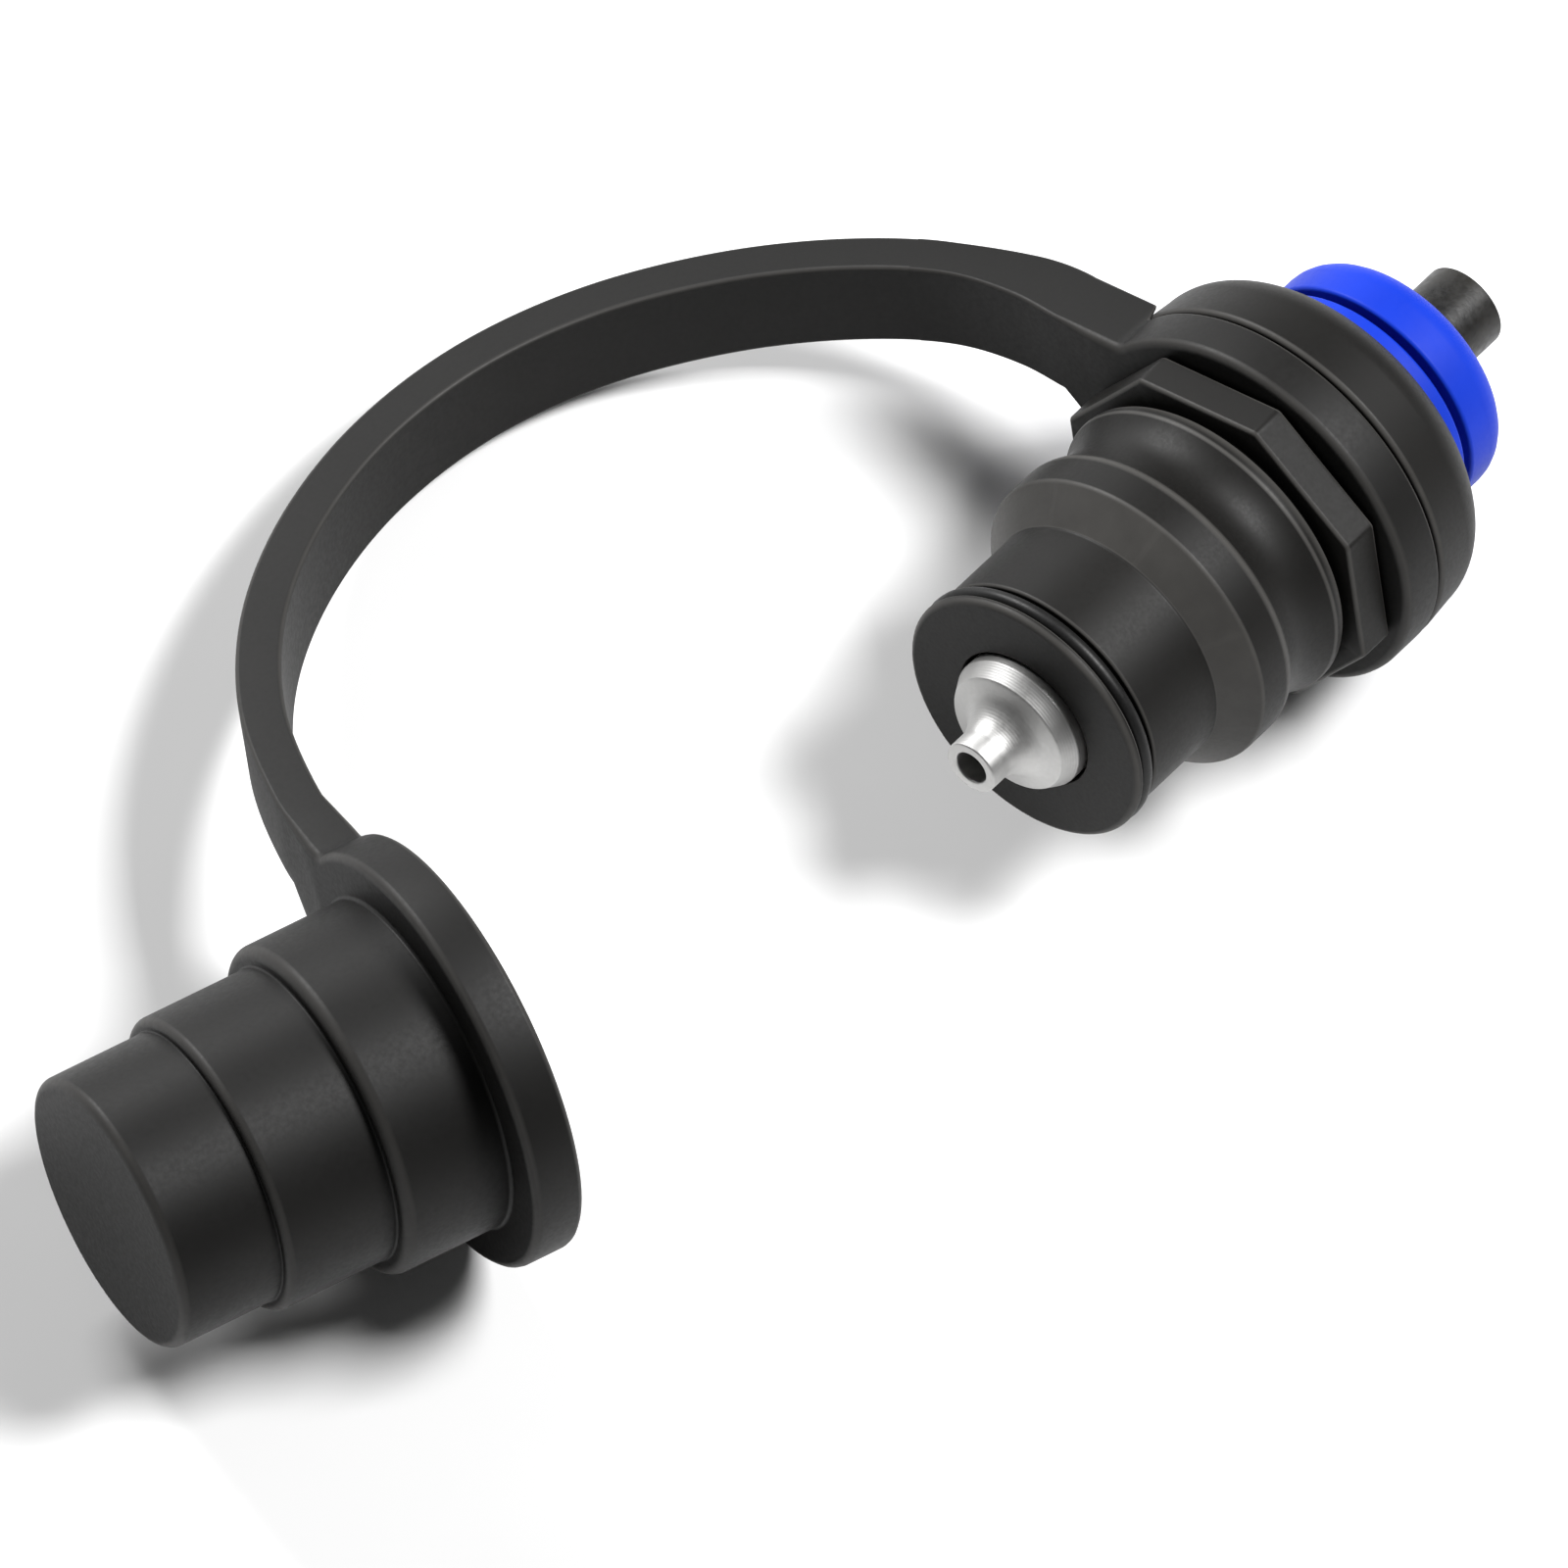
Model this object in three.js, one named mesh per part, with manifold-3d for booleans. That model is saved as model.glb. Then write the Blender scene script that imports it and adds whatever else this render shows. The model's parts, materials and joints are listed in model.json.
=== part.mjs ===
// Quick-release coupling plug: a poppet valve in the nose, a push-in tube socket at the back, and a
// rubber dust cap on a strap. Millimetres, +Z up. X is the plug's axis and points out of its nose,
// x = 0 is the middle of the strap's eye, and the strap bends in planes of constant z.

import * as THREE from 'three';
import { mergeVertices } from 'three/addons/utils/BufferGeometryUtils.js';
import Module from 'manifold-3d';

const wasm = await Module();
wasm.setup();

// ---- clearances ----------------------------------------------------------------------------------
const seat = 0.3; // between pieces that rest on each other
const slip = 0.25; // round a piece that turns or slides in a bore
const ringSqueeze = 0.15; // left round an O-ring in its groove
const edgeBreak = 0.3; // small chamfers
const tubeEdgeBreak = 0.2;

// ---- strap eye -----------------------------------------------------------------------------------
const eyeWidth = 4.4;
const eyeRadius = 18.1;
const eyeFrontRound = 0.8;

// ---- plug body, from the wrench flange to the nose -------------------------------------------------
const wrenchThickness = 3.7;
const wrenchAcross = 31.2; // across the eight flats
const flangeSink = 1; // how far the flange reaches into the turned body
const spigotRadius = 12.2; // carries the eye and the rear housing
const spigotInHousing = 3.2;
const spigotLip = 0.8; // behind the spigot's O-ring groove
const beadUndercut = 0.5;
const beadRadius = 15.0;
const beadRound = 1.5;
const flareLength = 3.3;
const waistRadius = 13.3;
const ringFallLength = 3.5;
const ringFallKnee = [0.55, 0.62]; // where the fall bends, as shares of its length and its height
const ringRadius = 15.1;
const ringLandLength = 3.6;
const ringConeLength = 3.0;
const noseRadius = 12.2;
const noseLength = 11.4; // from the ring's cone to the nose face
const lipLength = 0.8;
const lipRadius = 12.9;
const lipRound = 0.5;
const noseRingSection = 1.6; // O-ring cord diameter
const noseGrooveDepth = 1.2;

// ---- poppet valve ----------------------------------------------------------------------------------
const mouthRadius = 7.0;
const mouthLength = 2.6;
const valveSeatLength = 1.7; // the cone behind the mouth
const chamberRadius = 9.2;
const guideBoreRadius = 9.9;
const guideFromFace = 20.9; // depth of the guide's shoulder behind the nose face
const guideThickness = 2.4;
const guideHubRadius = 4.2;
const guideHubRise = 1.2;
const guideWindows = 6;
const guideWindowRadius = 1.7;
const circlipThickness = 1.0;
const circlipDepth = 0.7;
const circlipReach = 1.3; // inside the guide's bore
const circlipLugRadius = 1.5;
const circlipLugOverlap = 0.4;
const circlipHalfGap = 28; // degrees
const circlipLugTurn = 5; // degrees from the gap to a lug's middle
const poppetRadius = 6.7;
const poppetRise = 2.3; // the poppet's rim stands this far ahead of the nose face
const poppetHeadLength = 5.6;
const poppetFlangeRadius = 8.2;
const poppetFlangeThickness = 1.8;
const poppetRingSection = 2.0;
const poppetGrooveDepth = 0.7;
const poppetRimEdge = 1.4;
const trumpetShoulder = 0.7; // from the rim's radius to where the trumpet starts
const trumpetCurve = 1.7;
const stemRadius = 2.6;
const stemPastGuide = 2.0;
const nozzleRadius = 2.6;
const nozzleBoreRadius = 1.6;
const nozzleBoreDepth = 9.0;
const nozzleReach = 7.3; // ahead of the nose face
const nozzleStraight = 1.8;
const poppetTravel = 4.0;
const springRadius = 6.2;
const springWire = 1.0;
const springTurns = 5.5;

// ---- rear housing and push-in tube socket ------------------------------------------------------------
const housingFlangeLength = 3.8;
const housingFlangeRadius = 18.1;
const housingEdge = 0.4;
const housingShoulderLength = 5.1;
const housingEndRadius = 11.9;
const bodyRingSection = 1.2;
const webThickness = 1.0; // the tube's stop
const passageRadius = 2.9;
const tubeRadius = 4.05;
const tubeWall = 1.3;
const tubeBehindCollet = 8.5;
const tubeGrip = 0.7; // socket length ahead of the tube's O-ring
const tubeRingSection = 1.8;
const washerThickness = 0.6;
const grabRingLift = 0.7; // axial depth of the grab ring's cone
const grabSheet = 0.35;
const grabTeeth = 8;
const grabSlotWidth = 0.8;
const grabClear = 0.1; // between its teeth and the tube
const grabHingeShift = 0.4; // outwards from halfway between the tube and the ring's rim
const cartridgeRadius = 8.6;
const bandLength = 2.1;
const bandRadius = 11.85;
const sleeveWall = 1.7;
const colletHubRadius = 6.3;
const colletTravel = 0.6;
const colletStopGap = 0.2; // left between the band and the button when it is pressed home
const colletHeadLength = 5.7;
const colletHeadRadius = 11.9;
const colletHeadRound = 3.0;
const colletSlotWidth = 0.9;
const colletNoseEdge = 0.8;
const tubeLead = 0.4; // chamfer on the tube's inner end

// ---- strap ---------------------------------------------------------------------------------------
const strapThickness = 4.06;
const strapWidth = 8.7;
const strapRise = 8.8; // height of the strap's middle above the plug's axis
const strapLinks = 6;
const strapSink = 1.5; // of the route is left out at each end
const eyeStub = 15; // strap length that stays with the eye, from the route's start
const capStub = 13; // strap length that stays with the cap, to the route's end
// the strap's middle line, chosen by hand, from inside the eye to inside the cap's flange
const strapRoute = [
  [0, -12], [-0.1, -18.5], [-0.5, -25], [0.6, -32], [4.8, -40], [12.1, -48.6], [22, -56], [33, -60.4],
  [45, -61.6], [57, -59.6], [68, -54.8], [77, -47.6], [83.6, -38.6], [87.5, -30.8],
];

// ---- dust cap ------------------------------------------------------------------------------------
const capPlace = [92.4, -16.7]; // middle of the cap's flange
const capTurn = -20.6; // degrees from the plug's axis
const capFlangeRadius = 19.7;
const capFlangeThickness = 4.8;
const capFlangeRound = 0.5;
const capWall = 1.7;
const capEndWall = 2.4;
const capSteps = [
  { radius: 15.6, length: 10.4, round: 1.7 },
  { radius: 13.9, length: 10.8, round: 1.0 },
  { radius: 12.8, length: 10.0, round: 1.1 },
];

// ---- how it lies: on the eye's and the housing's rims, the cap's flange and the strap's lower edge ----
const lieRoll = 24.07; // degrees about X, towards the strap
const liePitch = -5.47; // degrees about Y, nose up

// ---- facets --------------------------------------------------------------------------------------
const bigSides = 40;
const smallSides = 24;
const springSteps = 12; // for each turn

// ---- stations along the plug's axis ----------------------------------------------------------------
const eyeFront = eyeWidth / 2;
const wrenchBack = eyeFront + seat;
const wrenchFront = wrenchBack + wrenchThickness;
const beadBack = wrenchFront + beadUndercut;
const flareFoot = beadBack + beadRound;
const waistX = flareFoot + flareLength;
const ringLandBack = waistX + ringFallLength;
const ringLandFront = ringLandBack + ringLandLength;
const noseFoot = ringLandFront + ringConeLength;
const faceX = noseFoot + noseLength;
const seatConeFront = faceX - mouthLength;
const seatConeBack = seatConeFront - valveSeatLength;
const guideFront = faceX - guideFromFace;
const guideBack = guideFront - seat - guideThickness;
const housingFront = -eyeWidth / 2 - seat;
const spigotEnd = housingFront - spigotInHousing;
const webFront = spigotEnd - seat;
const webBack = webFront - webThickness;
const housingFlangeBack = housingFront - housingFlangeLength;
const housingEnd = housingFlangeBack - housingShoulderLength;
const tubeStart = webBack - seat;
const tubeRingFront = tubeStart - tubeGrip;
const tubeRingBack = tubeRingFront - tubeRingSection - 2 * ringSqueeze;
const washerBack = tubeRingBack - ringSqueeze - washerThickness;
const grabFront = washerBack - seat;
const grabBack = grabFront - grabSheet - grabRingLift;
const bandFront = housingEnd - seat;
const bandBack = bandFront - bandLength;
const colletHeadFront = bandBack - colletTravel - colletStopGap;
const colletHeadBack = colletHeadFront - colletHeadLength;
const colletNose = grabBack - colletTravel - colletStopGap;
const tubeEnd = colletHeadBack - tubeBehindCollet;

// ---- geometry helpers ------------------------------------------------------------------------------
function solidOf(geometry) {
  const bare = geometry.clone();
  bare.deleteAttribute('normal');
  bare.deleteAttribute('uv');
  const merged = mergeVertices(bare, 1e-4);
  const corners = merged.index.array;
  const triangles = [];
  for (let i = 0; i < corners.length; i += 3) {
    const [a, b, c] = corners.slice(i, i + 3);
    if (a !== b && b !== c && c !== a) triangles.push(a, b, c);
  }
  const vertProperties = new Float32Array(merged.attributes.position.array);
  const triVerts = new Uint32Array(triangles);
  return new wasm.Manifold(new wasm.Mesh({ numProp: 3, vertProperties, triVerts }));
}

function geometryOf(solid) {
  const mesh = solid.getMesh();
  const geometry = new THREE.BufferGeometry();
  geometry.setAttribute('position', new THREE.BufferAttribute(mesh.vertProperties, 3));
  geometry.setIndex(new THREE.BufferAttribute(mesh.triVerts, 1));
  geometry.computeVertexNormals();
  return geometry;
}

function arc(x, y, radius, from, to, steps) {
  const points = [];
  for (let i = 0; i <= steps; i++) {
    const angle = THREE.MathUtils.degToRad(from + ((to - from) * i) / steps);
    points.push([x + radius * Math.cos(angle), y + radius * Math.sin(angle)]);
  }
  return points;
}

// A closed outline of [x, radius] points turned about X. A flat facet, not an edge, faces down.
function turned(outline, sides = bigSides) {
  const points = outline.map(([x, radius]) => new THREE.Vector2(radius, x));
  if (THREE.ShapeUtils.isClockWise(points)) points.reverse();
  points.push(points[0].clone());
  const geometry = new THREE.LatheGeometry(points, sides, Math.PI / sides);
  return geometry.rotateZ(-Math.PI / 2);
}

// A shape drawn in Y and Z, pushed along X from x = from to x = to.
function pushedAlongX(shape, from, to, curveSegments = 8) {
  const geometry = new THREE.ExtrudeGeometry(shape, { depth: to - from, bevelEnabled: false, curveSegments });
  const alongX = new THREE.Matrix4().makeBasis(
    new THREE.Vector3(0, 1, 0), new THREE.Vector3(0, 0, 1), new THREE.Vector3(1, 0, 0));
  return geometry.applyMatrix4(alongX).translate(from, 0, 0);
}

function boxAt(sizeX, sizeY, sizeZ, x, y, z) {
  return new THREE.BoxGeometry(sizeX, sizeY, sizeZ).translate(x, y, z);
}

// ---- materials -----------------------------------------------------------------------------------
const moulding = new THREE.MeshStandardMaterial({ color: 0x222120, roughness: 0.5, metalness: 0 });
const rubber = new THREE.MeshStandardMaterial({ color: 0x1b1a19, roughness: 0.7, metalness: 0 });
const sealRubber = new THREE.MeshStandardMaterial({ color: 0x0c0c0c, roughness: 0.45, metalness: 0 });
const satinSteel = new THREE.MeshStandardMaterial({ color: 0xc9c8c6, roughness: 0.35, metalness: 1 });
const springSteel = new THREE.MeshStandardMaterial({ color: 0x9c9c9a, roughness: 0.3, metalness: 1 });
const blueAcetal = new THREE.MeshStandardMaterial({ color: 0x1440e6, roughness: 0.45, metalness: 0 });
const whiteAcetal = new THREE.MeshStandardMaterial({ color: 0xd8d6cf, roughness: 0.5, metalness: 0 });
const blackNylon = new THREE.MeshStandardMaterial({ color: 0x121212, roughness: 0.4, metalness: 0 });

function piece(name, geometry, material) {
  const mesh = new THREE.Mesh(geometry, material);
  mesh.name = name;
  return mesh;
}

function oRing(name, middleX, middleRadius, section) {
  const outline = arc(0, middleRadius, section / 2, 0, 300, 5);
  const ring = piece(name, turned(outline, smallSides), sealRubber);
  ring.position.x = middleX;
  return ring;
}

// ---- plug body -------------------------------------------------------------------------------------
const noseGrooveRadius = noseRadius - noseGrooveDepth;
const noseGrooveWidth = noseRingSection + 2 * ringSqueeze;
const noseGrooveFront = faceX - lipLength;
const noseGrooveBack = noseGrooveFront - noseGrooveWidth;
const bodyRingRadius = spigotRadius - ringSqueeze - bodyRingSection / 2;
const spigotGrooveRadius = bodyRingRadius - bodyRingSection / 2 - ringSqueeze;
const spigotGrooveBack = spigotEnd + spigotLip;
const spigotGrooveFront = spigotGrooveBack + bodyRingSection + 2 * ringSqueeze;
const circlipFront = guideBack - seat;
const circlipBack = circlipFront - circlipThickness;

function plugBody() {
  const beadFootRadius = beadRadius - beadRound;
  const outside = [
    [spigotEnd, spigotRadius],
    [spigotGrooveBack, spigotRadius],
    [spigotGrooveBack, spigotGrooveRadius],
    [spigotGrooveFront, spigotGrooveRadius],
    [spigotGrooveFront, spigotRadius],
    [wrenchFront, spigotRadius],
    [wrenchFront, beadFootRadius],
    ...arc(flareFoot, beadFootRadius, beadRound, 180, 90, 4),
    [waistX, waistRadius],
    [waistX + ringFallLength * ringFallKnee[0], waistRadius + (ringRadius - waistRadius) * ringFallKnee[1]],
    [ringLandBack, ringRadius],
    [ringLandFront, ringRadius],
    [noseFoot, noseRadius],
    [noseGrooveBack, noseRadius],
    [noseGrooveBack, noseGrooveRadius],
    [noseGrooveFront, noseGrooveRadius],
    [noseGrooveFront, lipRadius],
    ...arc(faceX - lipRound, lipRadius - lipRound, lipRound, 90, 0, 3),
  ];
  const inside = [
    [faceX, mouthRadius],
    [seatConeFront, mouthRadius],
    [seatConeBack, chamberRadius],
    [guideFront, chamberRadius],
    [guideFront, guideBoreRadius],
    [circlipFront + slip, guideBoreRadius],
    [circlipFront + slip, guideBoreRadius + circlipDepth],
    [circlipBack - slip, guideBoreRadius + circlipDepth],
    [circlipBack - slip, guideBoreRadius],
    [spigotEnd, guideBoreRadius],
  ];
  const body = solidOf(turned([...outside, ...inside]));
  const cornerRadius = wrenchAcross / 2 / Math.cos(Math.PI / 8);
  const corners = arc(0, 0, cornerRadius, 22.5, 337.5, 7).map(([y, z]) => new THREE.Vector2(y, z));
  const flats = new THREE.Shape(corners);
  flats.holes.push(new THREE.Path().absarc(0, 0, spigotRadius - flangeSink, 0, 2 * Math.PI));
  const flange = solidOf(pushedAlongX(flats, wrenchBack, wrenchFront));
  return piece('plug_body', geometryOf(body.add(flange)), moulding);
}

// ---- valve ---------------------------------------------------------------------------------------
const rimX = faceX + poppetRise;
const headBack = rimX - poppetHeadLength;
const poppetGrooveRadius = poppetRadius - poppetGrooveDepth;
const poppetGrooveWidth = poppetRingSection + 2 * ringSqueeze;
const poppetFlangeFront = headBack - poppetGrooveWidth;
const poppetFlangeBack = poppetFlangeFront - poppetFlangeThickness;
const stemEnd = guideBack - stemPastGuide;

function poppet() {
  const tipX = faceX + nozzleReach;
  const nozzleFoot = tipX - nozzleStraight;
  const trumpet = [];
  const steps = 6;
  for (let i = 0; i <= steps; i++) {
    const along = i / steps;
    const sweep = 1 - Math.sqrt(1 - (1 - along) ** trumpetCurve);
    const radius = nozzleRadius + (poppetRadius - trumpetShoulder - nozzleRadius) * sweep;
    trumpet.push([rimX + (nozzleFoot - rimX) * along, radius]);
  }
  return piece('poppet', turned([
    [stemEnd, 0],
    [stemEnd, stemRadius],
    [poppetFlangeBack, stemRadius],
    [poppetFlangeBack, poppetFlangeRadius],
    [poppetFlangeFront, poppetFlangeRadius],
    [poppetFlangeFront, poppetGrooveRadius],
    [headBack, poppetGrooveRadius],
    [headBack, poppetRadius],
    [rimX - poppetRimEdge, poppetRadius],
    [rimX, poppetRadius - edgeBreak],
    ...trumpet,
    [tipX, nozzleRadius],
    [tipX, nozzleBoreRadius],
    [tipX - nozzleBoreDepth, nozzleBoreRadius],
    [tipX - nozzleBoreDepth, 0],
  ], smallSides), satinSteel);
}

function valveGuide() {
  const guideRadius = guideBoreRadius - slip;
  const guideTop = guideFront - seat;
  let guide = solidOf(turned([
    [guideBack, stemRadius + slip],
    [guideBack, guideRadius],
    [guideTop, guideRadius],
    [guideTop, guideHubRadius],
    [guideTop + guideHubRise, guideHubRadius],
    [guideTop + guideHubRise, stemRadius + slip],
  ]));
  const windowCircle = (guideHubRadius + guideRadius) / 2;
  for (let i = 0; i < guideWindows; i++) {
    const angle = (2 * Math.PI * i) / guideWindows;
    const window = new THREE.CylinderGeometry(guideWindowRadius, guideWindowRadius, guideThickness * 3, 12);
    window.rotateZ(Math.PI / 2);
    window.translate(guideBack, windowCircle * Math.cos(angle), windowCircle * Math.sin(angle));
    guide = guide.subtract(solidOf(window));
  }
  return piece('valve_guide', geometryOf(guide), whiteAcetal);
}

function guideCirclip() {
  const outer = guideBoreRadius + circlipDepth - slip;
  const inner = guideBoreRadius - circlipReach;
  const lugCircle = inner - circlipLugOverlap;
  const halfGap = THREE.MathUtils.degToRad(circlipHalfGap);
  const ring = new THREE.Shape();
  ring.absarc(0, 0, outer, halfGap, 2 * Math.PI - halfGap);
  ring.absarc(0, 0, inner, 2 * Math.PI - halfGap, halfGap, true);
  ring.closePath();
  let clip = solidOf(pushedAlongX(ring, circlipBack, circlipFront, 18));
  for (const side of [-1, 1]) {
    const angle = side * THREE.MathUtils.degToRad(circlipHalfGap + circlipLugTurn);
    const lug = new THREE.Shape();
    const [y, z] = [lugCircle * Math.cos(angle), lugCircle * Math.sin(angle)];
    lug.absarc(y, z, circlipLugRadius, 0, 2 * Math.PI);
    clip = clip.add(solidOf(pushedAlongX(lug, circlipBack, circlipFront, 12)));
    const hole = new THREE.Shape();
    hole.absarc(y, z, circlipLugRadius / 2, 0, 2 * Math.PI);
    clip = clip.subtract(solidOf(pushedAlongX(hole, circlipBack - 1, circlipFront + 1, 10)));
  }
  return piece('guide_circlip', geometryOf(clip), springSteel);
}

class Helix extends THREE.Curve {
  constructor(from, to, radius, turns) {
    super();
    Object.assign(this, { from, to, radius, turns });
  }

  getPoint(t, target = new THREE.Vector3()) {
    const angle = 2 * Math.PI * this.turns * t;
    const x = this.from + (this.to - this.from) * t;
    return target.set(x, this.radius * Math.cos(angle), this.radius * Math.sin(angle));
  }
}

function valveSpring() {
  const clear = seat + springWire / 2;
  const coil = new Helix(guideFront - seat + clear, poppetFlangeBack - clear, springRadius, springTurns);
  const wire = new THREE.Shape().absarc(0, 0, springWire / 2, 0, 2 * Math.PI);
  const geometry = new THREE.ExtrudeGeometry(wire, {
    extrudePath: coil, steps: Math.round(springTurns * springSteps), curveSegments: 3, bevelEnabled: false,
  });
  return piece('valve_spring', geometry, springSteel);
}

// ---- rear housing and tube socket ------------------------------------------------------------------
function rearHousing() {
  const shoulder = [];
  const steps = 7;
  for (let i = 0; i <= steps; i++) {
    const angle = (Math.PI / 2) * (i / steps);
    const x = housingFlangeBack - housingShoulderLength * Math.sin(angle);
    shoulder.push([x, housingEndRadius + (housingFlangeRadius - housingEndRadius) * Math.cos(angle)]);
  }
  return piece('rear_housing', turned([
    [housingFront, spigotRadius + slip],
    [housingFront, housingFlangeRadius - housingEdge],
    [housingFront - housingEdge, housingFlangeRadius],
    ...shoulder,
    [housingEnd, cartridgeRadius],
    [tubeRingBack, cartridgeRadius],
    [tubeRingBack, tubeRadius + tubeRingSection + 2 * ringSqueeze],
    [tubeRingFront, tubeRadius + tubeRingSection + 2 * ringSqueeze],
    [tubeRingFront, tubeRadius + slip],
    [webBack, tubeRadius + slip],
    [webBack, passageRadius],
    [webFront, passageRadius],
    [webFront, spigotRadius + slip],
  ]), moulding);
}

function backupWasher() {
  const [front, back] = [tubeRingBack - ringSqueeze, washerBack];
  const [outer, inner] = [cartridgeRadius - slip, tubeRadius + slip];
  return piece('backup_washer', turned([[back, inner], [back, outer], [front, outer], [front, inner]]), whiteAcetal);
}

function grabRing() {
  const outer = cartridgeRadius - slip;
  const hinge = (outer + tubeRadius) / 2 + grabHingeShift;
  const inner = tubeRadius + grabClear;
  let ring = solidOf(turned([
    [grabFront - grabSheet, outer],
    [grabFront, outer],
    [grabFront, hinge],
    [grabFront - grabRingLift, inner],
    [grabBack, inner],
    [grabFront - grabSheet, hinge],
  ]));
  for (let i = 0; i < grabTeeth; i++) {
    const slot = boxAt(4, hinge - inner + 1, grabSlotWidth, grabFront, (hinge + inner) / 2 - 0.5, 0);
    ring = ring.subtract(solidOf(slot.rotateX((2 * Math.PI * i) / grabTeeth)));
  }
  return piece('grab_ring', geometryOf(ring), springSteel);
}

function colletRetainer() {
  const sleeveOuter = cartridgeRadius - slip;
  const sleeveInner = sleeveOuter - sleeveWall;
  const sleeveFront = grabFront - grabSheet - seat;
  return piece('collet_retainer', turned([
    [bandBack, colletHubRadius + slip],
    [bandBack, bandRadius - edgeBreak],
    [bandBack + edgeBreak, bandRadius],
    [bandFront, bandRadius],
    [bandFront, sleeveOuter],
    [sleeveFront, sleeveOuter],
    [sleeveFront, sleeveInner],
    [bandFront, colletHubRadius + slip],
  ]), blueAcetal);
}

function releaseCollet() {
  let collet = solidOf(turned([
    [colletHeadBack, tubeRadius + slip],
    ...arc(colletHeadBack + colletHeadRound, colletHeadRadius - colletHeadRound, colletHeadRound, 180, 90, 4),
    [colletHeadFront - edgeBreak, colletHeadRadius],
    [colletHeadFront, colletHeadRadius - edgeBreak],
    [colletHeadFront, colletHubRadius],
    [colletNose - colletNoseEdge, colletHubRadius],
    [colletNose, colletHubRadius - colletNoseEdge],
    [colletNose, tubeRadius + slip],
  ]));
  const slotLength = colletNose - bandBack;
  for (const turn of [0, Math.PI / 2]) {
    const slot = boxAt(slotLength, colletSlotWidth, colletHubRadius * 3, colletNose - slotLength / 2 + 0.01, 0, 0);
    collet = collet.subtract(solidOf(slot.rotateX(turn)));
  }
  return piece('release_collet', geometryOf(collet), blueAcetal);
}

function tubeStub() {
  const bore = tubeRadius - tubeWall;
  return piece('tube_stub', turned([
    [tubeEnd, bore],
    [tubeEnd, tubeRadius - tubeEdgeBreak],
    [tubeEnd + tubeEdgeBreak, tubeRadius],
    [tubeStart - tubeLead, tubeRadius],
    [tubeStart, tubeRadius - tubeLead],
    [tubeStart, bore],
  ], smallSides), blackNylon);
}

// ---- strap ---------------------------------------------------------------------------------------
const route = new THREE.CatmullRomCurve3(strapRoute.map(([x, y]) => new THREE.Vector3(x, y, strapRise)));
const routeLength = route.getLength();
const linkLength = (routeLength - eyeStub - capStub) / strapLinks;
const knuckle = strapThickness / 2;

function strapAt(distance) {
  const share = distance / routeLength;
  const middle = route.getPointAt(share);
  const along = route.getTangentAt(share);
  return { x: middle.x, y: middle.y, heading: Math.atan2(along.y, along.x) };
}

// A stretch of strap from one distance along its route to another. A socket end is hollow and clears
// the round knuckle of the stretch before it; a plain end is square.
function strapStretch(from, to, socketStart, knuckleEnd) {
  const socket = knuckle + seat;
  const lead = Math.sqrt(socket ** 2 - knuckle ** 2);
  const spread = Math.asin(knuckle / socket);
  const start = socketStart ? from + lead : from;
  const steps = 4;
  const left = [];
  const right = [];
  for (let i = 0; i <= steps; i++) {
    const { x, y, heading } = strapAt(start + ((to - start) * i) / steps);
    const [acrossX, acrossY] = [-Math.sin(heading) * knuckle, Math.cos(heading) * knuckle];
    left.push([x + acrossX, y + acrossY]);
    right.unshift([x - acrossX, y - acrossY]);
  }
  const toDegrees = THREE.MathUtils.radToDeg;
  const outline = [...left];
  if (knuckleEnd) {
    const { x, y, heading } = strapAt(to);
    const facing = toDegrees(heading);
    outline.push(...arc(x, y, knuckle, facing + 90, facing - 90, 8).slice(1, -1));
  }
  outline.push(...right);
  if (socketStart) {
    const { x, y, heading } = strapAt(from);
    const facing = toDegrees(heading);
    const open = toDegrees(spread);
    outline.push(...arc(x, y, socket, facing - open, facing + open, 8).slice(1, -1));
  }
  const shape = new THREE.Shape(outline.map(([x, y]) => new THREE.Vector2(x, y)));
  const geometry = new THREE.ExtrudeGeometry(shape, { depth: strapWidth, bevelEnabled: false });
  return geometry.translate(0, 0, strapRise - strapWidth / 2);
}

function strapEye() {
  const eyeBore = spigotRadius + slip;
  const eye = solidOf(turned([
    [-eyeWidth / 2, eyeBore],
    [-eyeWidth / 2, eyeRadius - edgeBreak],
    [edgeBreak - eyeWidth / 2, eyeRadius],
    ...arc(eyeFront - eyeFrontRound, eyeRadius - eyeFrontRound, eyeFrontRound, 90, 0, 3),
    [eyeFront, eyeBore],
  ]));
  const stub = solidOf(strapStretch(strapSink, eyeStub, false, true));
  return piece('strap_eye', geometryOf(eye.add(stub)), rubber);
}

function strapLink(number) {
  const from = eyeStub + (number - 1) * linkLength;
  return piece(`strap_link_${number}`, strapStretch(from, from + linkLength, true, true), rubber);
}

// ---- dust cap: closed end towards +X of its own frame, x = 0 in the middle of its flange -------------
const capMouth = -capFlangeThickness / 2;
const capFlangeFront = capFlangeThickness / 2;

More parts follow.
